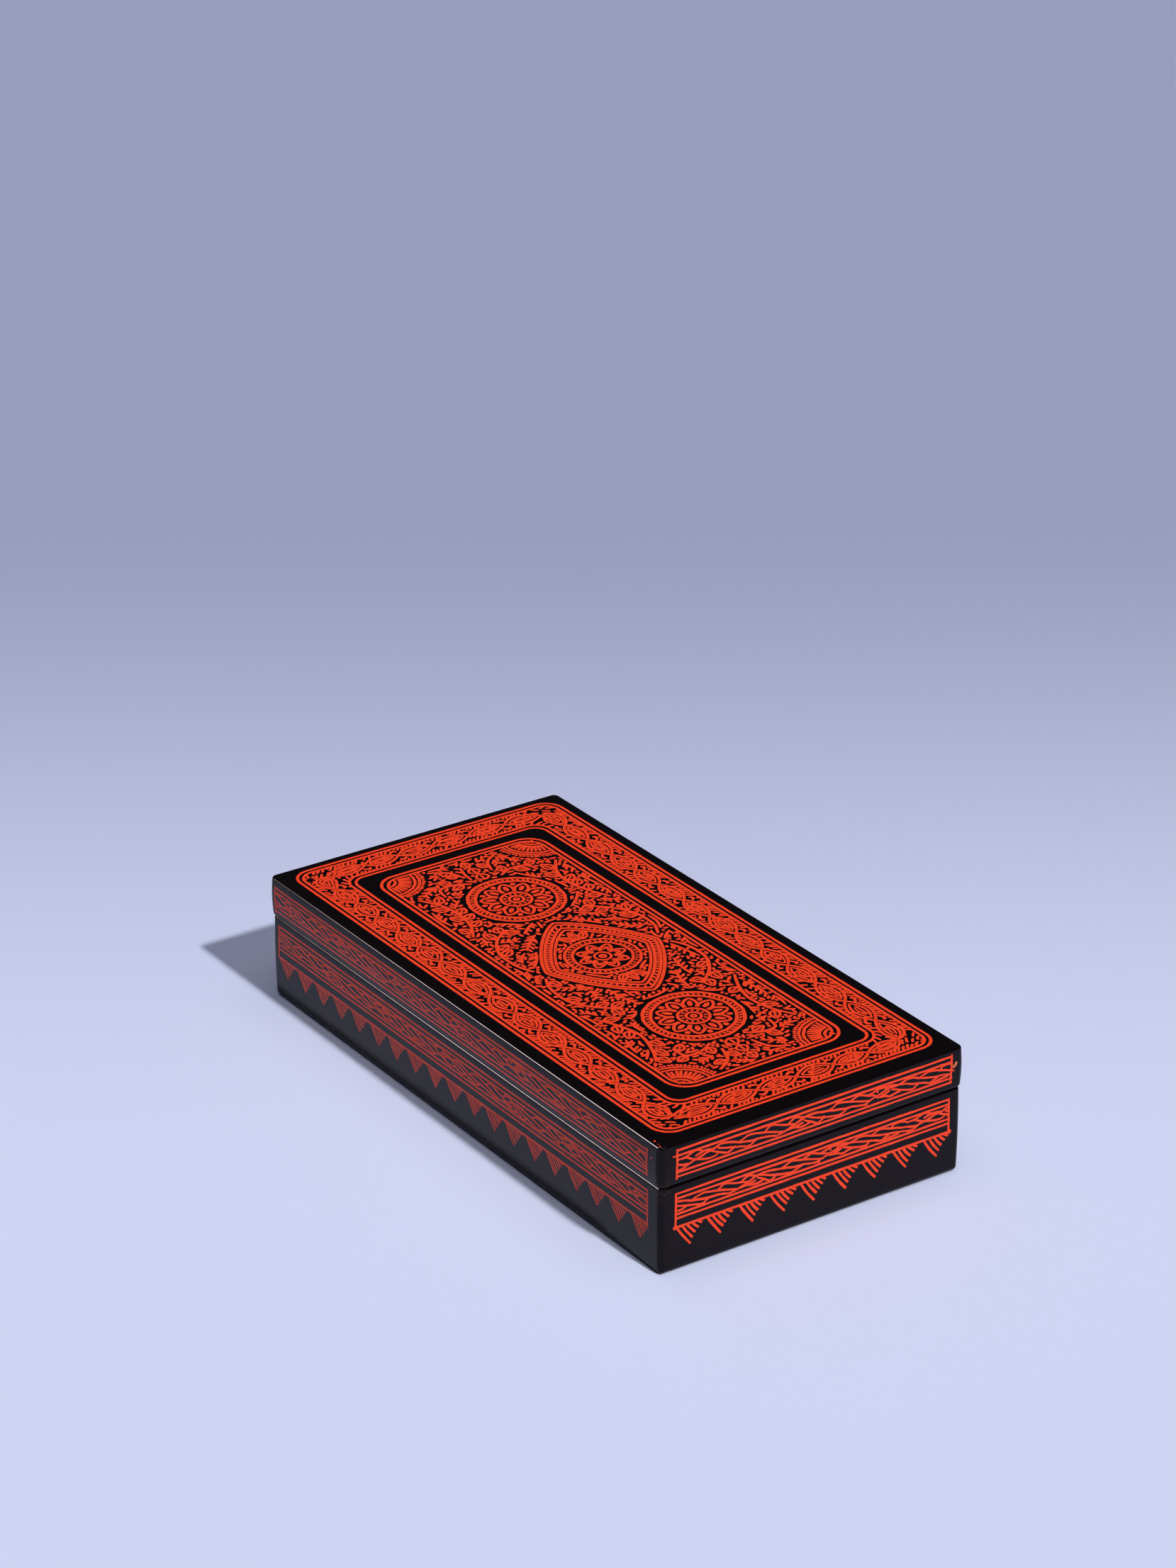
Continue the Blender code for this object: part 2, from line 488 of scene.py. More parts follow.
# %% The red lacquer material
CLOUD = 7.0 * MM     # patches where more or less red was rubbed in
PIGMENT = 0.35 * MM  # clots of pigment, drawn larger than they are so that they show
RED_DEEP = "#DA3A20"
RED_BRIGHT = "#E34321"

red_lacquer, shader = new_material("vermilion_lacquer")
place = add_node(red_lacquer, "ShaderNodeTexCoord").outputs["Object"]
cloud = add_node(red_lacquer, "ShaderNodeTexNoise", {"Scale": 1 / CLOUD, "Detail": 2.0}, Vector=place)
clots = add_node(red_lacquer, "ShaderNodeTexNoise", {"Scale": 1 / PIGMENT, "Detail": 2.0}, Vector=place)
tone = add_node(red_lacquer, "ShaderNodeMix",
                {"data_type": "RGBA", "A": linear(RED_DEEP), "B": linear(RED_BRIGHT)},
                Factor=cloud.outputs["Fac"])
depth = add_node(red_lacquer, "ShaderNodeMapRange",
                 {"From Min": 0.25, "From Max": 0.5, "To Min": 0.86, "To Max": 1.0},
                 Value=clots.outputs["Fac"])
red = add_node(red_lacquer, "ShaderNodeMix",
               {"data_type": "RGBA", "blend_type": "MULTIPLY", "Factor": 1.0},
               A=tone.outputs["Result"], B=depth.outputs["Result"])
feed(red.outputs["Result"], shader.inputs["Base Color"])
gloss = add_node(red_lacquer, "ShaderNodeMapRange", {"To Min": 0.10, "To Max": 0.22},
                 Value=clots.outputs["Fac"])
feed(gloss.outputs["Result"], shader.inputs["Roughness"])
shader.inputs["IOR"].default_value = LACQUER_IOR
shader.inputs["Specular IOR Level"].default_value = 0.11
print("nodes in the red:", len(red_lacquer.node_tree.nodes))

# %% [markdown]
# ## The ruled frames on the lid
#
# Six lines run round the top in three pairs, cut along a straight edge and turned round a corner.
# The pairs bound the border of eyes and the panel. The whole frame sits a little off the middle of
# the lid, as the maker set it out by eye. Three red specks were left at the corner nearest the viewer.
# One function walks along a rounded rectangle and gives points, so each line is one closed stroke.

# %% Draw the ruled frames
FRAME_SHIFT = Vector((-1.3, 0.5))  # mm from the middle of the lid
LID_HALF = Vector((lid_high.x / MM, lid_high.y / MM))
RULES = ((5.5, 6.7, 1.06), (7.35, 5.2, 1.0), (18.4, 6.0, 1.0),
         (20.3, 5.0, 1.02), (25.75, 7.9, 1.08), (27.7, 6.6, 1.0))  # mm: inset, corner radius, width
SPECKS = ((109.3, -56.5, 0.8), (111.4, -56.7, 0.5), (112.9, -57.0, 0.7))  # mm: place and size
LINE_STEP = 4.0  # mm between two points of a ruled line
CORNER_STEPS = 10  # pieces of a turn at a corner


def rounded_frame(inset, radius, step):
    """Points along a rounded rectangle, anticlockwise, with the direction of travel at each."""
    half_x = LID_HALF.x - inset - radius
    half_y = LID_HALF.y - inset - radius
    run = []
    for quarter, (side_x, side_y) in enumerate(((1, -1), (1, 1), (-1, 1), (-1, -1))):
        centre = Vector((side_x * half_x, side_y * half_y)) + FRAME_SHIFT
        for index in range(CORNER_STEPS + 1):
            angle = math.radians(90) * (quarter - 1 + index / CORNER_STEPS)
            outward = Vector((math.cos(angle), math.sin(angle)))
            run.append((centre + outward * radius, Vector((-outward.y, outward.x))))
        length = 2 * (half_x if quarter % 2 else half_y)
        start, travel = run[-1]
        count = int(length / step)
        for index in range(1, count):
            run.append((start + travel * length * index / count, travel))
    return run


sheet = []
for inset, radius, width in RULES:
    points = [point for point, travel in rounded_frame(inset, radius, LINE_STEP)]
    cut(sheet, points, width, closed=True)
for x, y, size in SPECKS:
    speck = [Vector((x - size / 2, y)), Vector((x, y + 0.05)), Vector((x + size / 2, y))]
    cut(sheet, speck, size, 0.6, 0.6)
inlay("lid_ruled_frames", sheet, lid_skin, EAST, NORTH, red_lacquer)

# %% [markdown]
# ## The chain of eyes
#
# Between the outer two pairs runs a plait of two strands that cross again and again, an old border.
# Each opening holds a smaller pointed oval, and in it a little hook or a still smaller oval, like an
# eye. The eyes are spaced unevenly because the maker did it by sight, so the middle of each is given
# here. A smooth line runs through them all, and the rest is placed along it and beside it. The two
# strands are in truth one that goes round twice before it closes, since the number of eyes is odd.

# %% Set out the eyes
# mm from the middle of the lid to the middle of each eye
EYES_FRONT = (-99.5, -86.6, -73.7, -61.2, -47.4, -34.9, -21.2, -6.2, 8.75, 22.9, 36.7, 51.25,
              65.4, 80.4, 94.6)
EYES_RIGHT = (-34.6, -19.6, -4.6, 10.8, 24.2, 37.9)
EYES_BACK = (93.3, 76.7, 61.3, 45.4, 31.3, 17.1, 2.5, -12.8, -27.0, -41.6, -54.9, -69.9, -84.1, -97.8)
EYES_LEFT = (36.5, 21.8, 7.0, -7.3, -20.8, -34.4)
BAND_INSET = 12.9  # mm between the lines of the frame's outside and the middle of the border
STEPS_PER_EYE = 24
STRAND = (3.0, 3.7)  # mm from the middle of an eye to the strand over it, smallest and largest

band_right = LID_HALF.x - BAND_INSET + FRAME_SHIFT.x
band_left = -LID_HALF.x + BAND_INSET + FRAME_SHIFT.x
band_back = LID_HALF.y - BAND_INSET + FRAME_SHIFT.y
band_front = -LID_HALF.y + BAND_INSET + FRAME_SHIFT.y
sides = ([Vector((x, band_front)) for x in EYES_FRONT],
         [Vector((band_right, y)) for y in EYES_RIGHT],
         [Vector((x, band_back)) for x in EYES_BACK],
         [Vector((band_left, y)) for y in EYES_LEFT])
corners = (Vector((band_right, band_front)), Vector((band_right, band_back)),
           Vector((band_left, band_back)), Vector((band_left, band_front)))
knots = []  # eye, crossing, eye, crossing and so on
for side, (eyes, corner) in enumerate(zip(sides, corners)):
    following = [*eyes[1:], sides[(side + 1) % 4][0]]
    for eye, after in zip(eyes, following):
        crossing = (eye + after) / 2
        if after is following[-1]:
            crossing = (crossing + corner) / 2
        knots.extend((eye, crossing))
eye_count = len(knots) // 2
middle_line = []
for index in range(len(knots)):
    before, here, there, after = (knots[(index + step) % len(knots)] for step in (-2, -1, 0, 1))
    middle_line.extend(smooth([before, here, there, after], STEPS_PER_EYE // 2)[
        STEPS_PER_EYE // 2:STEPS_PER_EYE])
print("eyes:", eye_count, "points along the middle:", len(middle_line))


def on_band(eye, along, aside):
    """A point in an eye: along from -1 to 1 between its crossings, aside in mm, outwards plus."""
    exact = (eye + (along + 1) / 2) * STEPS_PER_EYE
    index = math.floor(exact)
    total = len(middle_line)
    here, there = middle_line[index % total], middle_line[(index + 1) % total]
    ahead = (middle_line[(index + 2) % total] - middle_line[(index - 1) % total]).normalized()
    return here.lerp(there, exact - index) + Vector((ahead.y, -ahead.x)) * aside

# %% Draw the chain
sheet = []
spans = [hand.uniform(*STRAND) for eye in range(eye_count)]
strand = []
for turn in range(2):
    for eye in range(eye_count):
        side = 1 if (eye + turn * eye_count) % 2 else -1
        for index in range(STEPS_PER_EYE):
            along = 2 * index / STEPS_PER_EYE - 1
            strand.append(on_band(eye, along, side * spans[eye] * (1 - along ** 2)))
cut(sheet, strand, 1.04, closed=True)


def draw_oval(eye, length, swell, tilt, width):
    """Two arcs that meet in points at both ends of an eye."""
    for side in (-1, 1):
        bulge = side * swell * hand.uniform(0.93, 1.07)
        arc = []
        for index in range(13):
            share = index / 6 - 1
            along = share * length
            arc.append(on_band(eye, along, bulge * (1 - share ** 2) + tilt * along))
        cut(sheet, arc, width, 0.7, 0.7)


INNER_OVALS = 0.55  # share of the eyes that hold a second oval, where the others hold a hook
OVAL_GAP = 1.5  # mm from a strand to the oval inside it

for eye in range(eye_count):
    tilt = hand.uniform(-0.4, 0.1)
    draw_oval(eye, hand.uniform(0.72, 0.80), spans[eye] - OVAL_GAP, tilt, 0.92)
    if hand.random() < INNER_OVALS:
        draw_oval(eye, hand.uniform(0.46, 0.54), 0.70, tilt, 0.78)
        continue
    mouth = hand.choice((-1, 1, 1))
    hook = []
    for index in range(15):
        angle = math.radians(30 + 300 * index / 14)
        along = mouth * (0.46 - 0.008 * index) * math.cos(angle)
        hook.append(on_band(eye, along, 0.66 * math.sin(angle)))
    cut(sheet, hook, 0.8, 0.9, 0.7)
inlay("lid_chain_of_eyes", sheet, lid_skin, EAST, NORTH, red_lacquer)

# %% [markdown]
# ## Hatching beside the chain
#
# Short slanted strokes fill what is left between the chain and the rules. Each one grows from a rule
# towards the chain and stops where it touches it or comes near another stroke, and where there is
# room, one or two more follow in line. Tables of small squares remember what lies where. A curved
# comma sits in most notches where the strands cross. The strokes from the rules leave gaps at the
# four corners of the border, so these are filled with short strokes that point outwards.

# %% Tables that remember what is drawn
SQUARE = 1.25  # mm, side of a square of the tables


def mark(table, points):
    """Remembers points where something is drawn."""
    for point in points:
        key = (math.floor(point[0] / SQUARE), math.floor(point[1] / SQUARE))
        table.setdefault(key, []).append(point)


def is_near(table, point, clear):
    """Whether something in a table lies nearer to a point than clear."""
    column, row = math.floor(point[0] / SQUARE), math.floor(point[1] / SQUARE)
    reach = math.ceil(clear / SQUARE)
    for near_column in range(column - reach, column + reach + 1):
        for near_row in range(row - reach, row + reach + 1):
            for other in table.get((near_column, near_row), ()):
                if (other - point).length_squared < clear * clear:
                    return True
    return False


chain_table = {}
hatch_table = {}
rule_table = {}
BORDER_RULES = RULES[1:3]  # the two that face the chain
mark(chain_table, strand)
mark(chain_table, [here.lerp(there, 0.5) for here, there in zip(strand, strand[1:] + strand[:1])])
for inset, radius, width in BORDER_RULES:
    mark(rule_table, [point for point, travel in rounded_frame(inset, radius, 0.5)])
print("squares that the chain and the rules pass:", len(chain_table), len(rule_table))

# %% Draw the commas
CORNER_EYES = (14, 20, 34, 40)  # the chain turns a corner after these
NO_COMMA = 0.15  # share of the other notches that stay without a comma
COMMA = ((250, 0.45), (180, 0.5), (110, 0.55), (50, 0.7), (10, 1.0), (-8, 1.6), (-14, 2.2))

sheet = []
for eye in range(eye_count):
    for side in (-1, 1):
        if hand.random() < NO_COMMA or eye in CORNER_EYES:
            continue
        turned = hand.choice((-1, 1))
        size = hand.uniform(0.85, 1.0)
        comma = []
        for degrees, reach in COMMA:
            angle = math.radians(degrees)
            comma.append(on_band(eye, 1 + turned * (0.16 * size * reach * math.cos(angle) - 0.02),
                                 side * (3.0 + size * reach * math.sin(angle))))
        cut(sheet, comma, 1.15, 0.9, 0.5)
        mark(hatch_table, comma)
print("commas:", len(sheet))

# %% Draw the hatching
HATCH_PITCH = (1.3, 1.75)  # mm along the rule, smallest and largest
HATCH_SLANT = math.radians(56)
HATCH_LONGEST = 3.4   # mm
HATCH_SHORTEST = 0.9
WALK = 0.2            # mm, the steps in which a stroke feels its way
CHAIN_GAP = 0.35      # mm to the middle of the chain's strands, so that the stroke touches them
HATCH_GAP = 1.12      # mm kept to the middle of other strokes
RULE_GAP = 0.85       # mm kept to the middle of the rules by a stroke that follows another
LINE_GAP = 1.2        # mm between two strokes in line

for (inset, radius, width), facing in zip(BORDER_RULES, (1, -1)):
    path = rounded_frame(inset, radius, WALK)
    walked = 0
    for (start, travel), (following, other) in zip(path, path[1:]):
        walked -= (following - start).length
        if walked > 0:
            continue
        walked = hand.uniform(*HATCH_PITCH)
        heading = Vector(travel)
        heading.rotate(Matrix.Rotation(HATCH_SLANT + hand.uniform(-0.14, 0.14), 2))
        heading *= facing
        for row in range(3):
            longest = HATCH_LONGEST * hand.uniform(0.75, 1)
            run = 0.4
            tip = start + heading * run
            while run < longest and not (
                    is_near(chain_table, tip, CHAIN_GAP) or is_near(hatch_table, tip, HATCH_GAP)
                    or (row and is_near(rule_table, tip, RULE_GAP))):
                run += WALK
                tip = start + heading * run
            if run < HATCH_SHORTEST:
                break
            bow = Vector((-heading.y, heading.x)) * hand.uniform(0, 0.12) * run
            stroke = smooth([start, start + heading * run / 2 + bow, tip], 3)
            cut(sheet, stroke, hand.uniform(0.84, 1.04), 1.0, 0.65)
            mark(hatch_table, stroke)
            if run < longest:
                break
            start = start + heading * (run + LINE_GAP)
print("strokes with the hatching:", len(sheet))

# %% Fill the corners of the border
CORNER_TRIES = 400
CORNER_GAPS = ((chain_table, 1.05), (hatch_table, 1.15), (rule_table, 1.0))  # mm kept to each

for corner in corners:
    outward = Vector((math.copysign(0.8, corner.x), math.copysign(0.8, corner.y)))
    for attempt in range(CORNER_TRIES):
        spot = corner + Vector((hand.uniform(-5, 5), hand.uniform(-5, 5)))
        bow = Vector((outward.y, -outward.x)) * hand.uniform(-0.3, 0.3)
        stroke = [spot - outward, spot - outward * 0.3 + bow, spot + outward * 0.3 + bow, spot + outward]
        if any(is_near(table, point, gap) for point in stroke for table, gap in CORNER_GAPS):
            continue
        cut(sheet, stroke, hand.uniform(0.9, 1.08), 0.8, 0.6)
        mark(hatch_table, stroke)
inlay("lid_border_hatching", sheet, lid_skin, EAST, NORTH, red_lacquer)

# %% [markdown]
# ## The panel
#
# The middle of the lid is filled edge to edge. The layout is a plain carpet plan, made up for this
# box from common garden motifs: a plump lozenge with a rosette and two palmettes in it, a round
# flower and a row of leaves to each side, vines between them and a fan in each corner. It is
# symmetrical in plan, but no two quarters are cut quite alike. A table of squares remembers where
# strokes lie, so that the ground can be filled afterwards, first with barbed sprigs and then with
# short dashes that are fat in the middle, each as close to its neighbours as it will go.

# %% Tools for the panel
PANEL = Vector((86.4, 29.9))  # mm, half the length and width that the strokes keep to
MARK_PITCH = 0.5  # mm between two points that the table remembers
panel = []
squares = {}


def draw(points, width, start=0.8, end=0.8, closed=False):
    """Cuts a stroke in the panel and remembers its points at close steps."""
    points = [Vector(point) for point in points]
    cut(panel, [point + FRAME_SHIFT for point in points], width, start, end, closed)
    run = points + points[:1] if closed else points
    for here, there in zip(run, run[1:]):
        count = max(1, math.ceil((there - here).length / MARK_PITCH))
        mark(squares, [here.lerp(there, step / count) for step in range(count)])
    mark(squares, points[-1:])


def polar(centre, radius, degrees):
    """The point at a distance and an angle from a centre."""
    angle = math.radians(degrees)
    return centre + Vector((math.cos(angle), math.sin(angle))) * radius


def ring(centre, radius, width, steps, first=0, last=360):
    """A circle, or a part of one."""
    closed = last - first == 360
    count = steps if closed else steps + 1
    points = [polar(centre, radius * hand.uniform(0.99, 1.01), first + (last - first) * step / steps)
              for step in range(count)]
    draw(points, width, closed=closed)


def ticks(centre, low, high, count, width, first=0, last=360, lean=0):
    """Short strokes that stand all round a circle."""
    for step in range(count):
        angle = first + (last - first) * (step + 0.5) / count + hand.uniform(-0.6, 0.6)
        draw([polar(centre, low, angle), polar(centre, high * hand.uniform(0.98, 1.02), angle + lean)],
             width, 0.9, 0.9)


print("panel to fill, mm:", [round(2 * v, 1) for v in PANEL])

# %% A flower
FLOWER_RADIUS = 16.3  # mm


def petal(centre, angle, spread, low, high, width):
    """A pointed petal of two lines that bow out from the middle of a flower."""
    for side in (-1, 1):
        run = [polar(centre, low, angle + side * spread),
               polar(centre, low + (high - low) * 0.42, angle + side * spread * 1.02),
               polar(centre, low + (high - low) * 0.8, angle + side * spread * 0.45),
               polar(centre, high, angle)]
        draw(smooth(run, 3), width, 0.9, 0.7)


def flower(centre, turn):
    """A round flower head: seeds in the middle, two rows of petals and a ticked rim."""
    ring(centre, 0.8, 1.0, 10)
    ring(centre, 2.5, 1.05, 20)
    ticks(centre, 3.4, 4.3, 13, 1.1)
    ring(centre, 5.2, 1.1, 28)
    for step in range(10):
        angle = turn + 36 * step
        petal(centre, angle, 15.4, 6.3, 12.2, 1.1)
        draw([polar(centre, reach, angle) for reach in (6.9, 8.0, 9.2, 10.4)], 1.75, 0.6, 0.3)
        draw([polar(centre, reach, angle + 18) for reach in (10.6, 11.5, 12.5)], 1.9, 0.5, 0.7)
    ring(centre, 13.8, 1.15, 52)
    ticks(centre, 14.5, 15.5, 54, 1.0, lean=3)
    ring(centre, FLOWER_RADIUS, 1.2, 60)


print("a flower is across, mm:", 2 * FLOWER_RADIUS)

# %% A leaf and a vine
LEAF_LEAN = 46  # degrees between a leaf and its stem


def leaf(base, tip, belly):
    """A pointed leaf: two outlines and a rib."""
    axis = tip - base
    side = Vector((-axis.y, axis.x)).normalized() * belly
    for way in (-1, 1):
        low = base + axis * 0.32 + side * way
        high = base + axis * 0.68 + side * way * 0.75
        draw(smooth([base, low, high, tip], 3), 0.98)
    draw([base + axis * 0.12, base + axis * 0.5, base + axis * 0.78], 0.95)


def vine(places, leaves, length, belly):
    """A curved stem with leaves to both sides of it by turns."""
    run = smooth(places, 8)
    draw(run, 1.2)
    for step in range(leaves):
        spot = round((step + 0.7) / (leaves + 0.4) * (len(run) - 1))
        here = run[spot]
        heading = (run[min(spot + 1, len(run) - 1)] - run[spot - 1]).normalized()
        for way in ((-1, 1) if step % 3 == 2 else ((-1) ** step,)):  # every third place has a pair
            out = Vector(heading)
            out.rotate(Matrix.Rotation(math.radians(LEAF_LEAN + hand.uniform(-6, 6)) * way, 2))
            tip = here + out * length * hand.uniform(0.85, 1.1)
            inside = abs(tip.x) < PANEL.x - 1 and abs(tip.y) < PANEL.y - 1
            taken = is_near(squares, tip, 1.5) or is_near(squares, here.lerp(tip, 0.5), belly + 0.3)
            if inside and not taken:
                leaf(here + out * 0.8, tip, belly)


print("a leaf leans from its stem by, degrees:", LEAF_LEAN)

# %% Draw the lozenge
LOZENGE = Vector((29.0, 22.0))  # mm, half its length and width
BULGE = 1.28  # 1 would give straight sides, 2 an oval
middle = Vector((0, 0))


def lozenge_point(size, degrees):
    """A point on the plump lozenge at a share of its full size."""
    angle = math.radians(degrees)
    cosine, sine = math.cos(angle), math.sin(angle)
    reach = (abs(cosine / LOZENGE.x) ** BULGE + abs(sine / LOZENGE.y) ** BULGE) ** (-1 / BULGE)
    return Vector((cosine, sine)) * reach * size


def in_lozenge(point):
    """The share of the full size at which the lozenge's line would pass through a point."""
    return (abs(point.x / LOZENGE.x) ** BULGE + abs(point.y / LOZENGE.y) ** BULGE) ** (1 / BULGE)


for size, width in ((1.0, 1.12), (0.937, 1.02), (0.84, 1.02), (0.775, 0.98)):
    draw([lozenge_point(size, 3 * step) for step in range(120)], width, closed=True)
for step in range(72):
    angle = 360 * (step + 0.5) / 72
    draw([lozenge_point(0.912, angle), lozenge_point(0.865, angle + 1.5)], 0.9, 0.9, 0.9)
ring(middle, 0.9, 1.1, 12)
ring(middle, 2.8, 0.95, 20)
for step in range(8):
    petal(middle, 45 * step, 17.5, 3.8, 8.8, 1.0)
    petal(middle, 45 * step, 6.5, 4.8, 6.8, 0.9)
ring(middle, 10.0, 1.02, 44)
ticks(middle, 10.8, 11.7, 40, 0.95, lean=3)
ring(middle, 12.5, 1.05, 52)
print("strokes in the lozenge:", len(panel))

# %% Draw the flowers, the palmettes and the fans
FLOWER_PLACE = 51.0  # mm from the middle to a flower's

for way in (-1, 1):
    flower(Vector((way * FLOWER_PLACE, 0)), 9 * way)
    for angle in (-38, 0, 38):
        stem = Vector((13.9, math.sin(math.radians(angle)) * 2.2)) * way
        leaf(stem, stem + polar(middle, 6.6, angle) * way, 1.3)
    for step, size in enumerate((2.2, 1.9, 1.5)):
        leaf(Vector((way * (69.6 + 5.4 * step), 0)), Vector((way * (74.6 + 5.2 * step), 0)), size)
    for side in (-1, 1):
        corner = Vector((way * (PANEL.x + 0.4), side * (PANEL.y + 0.4)))
        first = {(1, 1): 180, (-1, 1): 270, (-1, -1): 0, (1, -1): 90}[(way, side)]
        ring(corner, 4.2, 1.05, 8, first, first + 90)
        ticks(corner, 5.3, 9.8, 9, 1.1, first + 3, first + 87)
        ring(corner, 10.9, 1.05, 16, first, first + 90)
        ring(corner, 12.4, 1.0, 18, first, first + 90)
        ticks(corner, 13.2, 14.3, 16, 0.95, first + 1, first + 89, 3)
print("strokes so far:", len(panel))

# %% Draw the vines
# The vines of one quarter: the places that each passes in mm, and its leaves, their length and belly
VINES = ((((3.0, 24.6), (10, 27.2), (20, 26.8), (28.5, 22.4), (34.0, 15.5)), 6, 6.3, 1.6),
         (((35.0, 27.4), (43, 23.4), (52, 21.8), (61, 23.4), (69.0, 27.4)), 7, 6.2, 1.6),
         (((69.0, 6.2), (72.0, 11.2), (71.4, 17.0), (66.0, 18.6)), 4, 6.0, 1.5),
         (((74, 5.4), (80.5, 8.0), (84.6, 14.0)), 3, 5.6, 1.4))

for way in (-1, 1):
    for side in (-1, 1):
        for places, leaves, length, belly in VINES:
            wavering = [Vector((way * (x + hand.uniform(-0.5, 0.5)), side * (y + hand.uniform(-0.4, 0.4))))
                        for x, y in places]
            vine(wavering, leaves, length, belly)
print("strokes with the vines:", len(panel))

# %% Sprigs and dashes for the ground
HALO = 2.0          # mm of plain black kept round the lozenge and the flowers
ROSETTE_EDGE = 13.2  # mm from the middle to where the ground inside the lozenge begins
FIELD_EDGE = 0.73    # and the share of the lozenge's size where it ends
DASH_GAP = 1.1       # mm from the middle of a stroke to the middle of whatever is beside it
BARB_PITCH = 1.95    # mm between two barbs along a stem


def has_room(points):
    """Whether a stroke through these points would lie free in the ground."""
    for point in points:
        if FIELD_EDGE < in_lozenge(point) < 1 + HALO / LOZENGE.x or point.length < ROSETTE_EDGE:
            return False
        if (point - Vector((math.copysign(FLOWER_PLACE, point.x), 0))).length < FLOWER_RADIUS + HALO:
            return False
        if abs(point.x) > PANEL.x - 0.2 or abs(point.y) > PANEL.y - 0.2:
            return False
        if is_near(squares, point, DASH_GAP):
            return False
    return True


def spindle(start, end, width):
    """The four points of a short stroke that is fat in the middle, and its width."""
    run = end - start
    bow = Vector((-run.y, run.x)) * hand.uniform(-0.07, 0.07)
    return [start, start + run * 0.3 + bow, start + run * 0.7 + bow, end], width


def sprig(centre, degrees, length):
    """A short curved stem with barbs on both sides, as far as there is room."""
    heading, beside = polar(middle, 1, degrees), polar(middle, 1, degrees + 90)
    half = heading * length / 2
    stem = smooth([centre - half, centre + beside * hand.uniform(-1.0, 1.0), centre + half], 6)
    if not has_room(stem):
        return
    strokes = [(stem, 1.05)]
    for step in range(int(length / BARB_PITCH)):
        base = stem[min(len(stem) - 2, round((step + 0.3) * BARB_PITCH / length * (len(stem) - 1)))]
        for way in (-1, 1):
            out = polar(middle, 1, degrees + way * (48 + hand.uniform(-5, 5)))
            reach = hand.uniform(2.6, 3.4)
            if has_room([base + out * 1.2, base + out * 2, base + out * (reach - 0.4)]):
                strokes.append(spindle(base + out * 0.4, base + out * reach, hand.uniform(1.0, 1.15)))
    for points, width in strokes:
        cut(panel, [point + FRAME_SHIFT for point in points], width, 0.55, 0.45)
        mark(squares, points)


def any_spot():
    """A place somewhere in the panel."""
    return Vector((hand.uniform(-PANEL.x, PANEL.x), hand.uniform(-PANEL.y, PANEL.y)))


print("the middles of two strokes keep apart by, mm:", DASH_GAP)

# %% Fill the ground
SPRIGS = ((15, 1500), (11, 2500), (8, 4000), (5, 8000))  # longest in mm, and how many tries
DASHES = ((0.9, 1.5, 30000), (0.5, 0.8, 30000))  # half the shortest and the longest, and how many tries

for longest, tries in SPRIGS:
    for attempt in range(tries):
        spot = any_spot()
        sprig(spot, 45 * hand.randrange(8) + hand.uniform(-14, 14), longest * hand.uniform(0.75, 1))
print("strokes with sprigs:", len(panel))
for shortest, longest, tries in DASHES:
    for attempt in range(tries):
        spot = any_spot()
        half = polar(middle, hand.uniform(shortest, longest), hand.uniform(0, 180))
        core = half * max(0, 1 - 0.5 / half.length)
        if has_room([spot - core, spot, spot + core]):
            points, width = spindle(spot - half, spot + half, hand.uniform(1.05, 1.2))
            cut(panel, [point + FRAME_SHIFT for point in points], width, 0.6, 0.5)
            mark(squares, [spot - core, spot, spot + core])
inlay("lid_panel", panel, lid_skin, EAST, NORTH, red_lacquer)

# %% [markdown]
# ## The sides
#
# Each side has a ruled band on the lid and one on the body. Between its two pairs of lines runs a
# twisted cord: in each length one stroke rises, bends over and falls to the next, and shorter ones
# fall beside it, most of them with a hook that rises at one end and touches a neighbour. Under the
# body's band hangs a fringe of triangles, each of slanting strokes that get shorter, six on the long
# walls and five on the short ones. All of it is cut freehand. No simple rule gives strokes as free as
# the cord's, so three lengths of it are set down point by point. They take turns along each wall,
# stretched to fit and shaken a little.

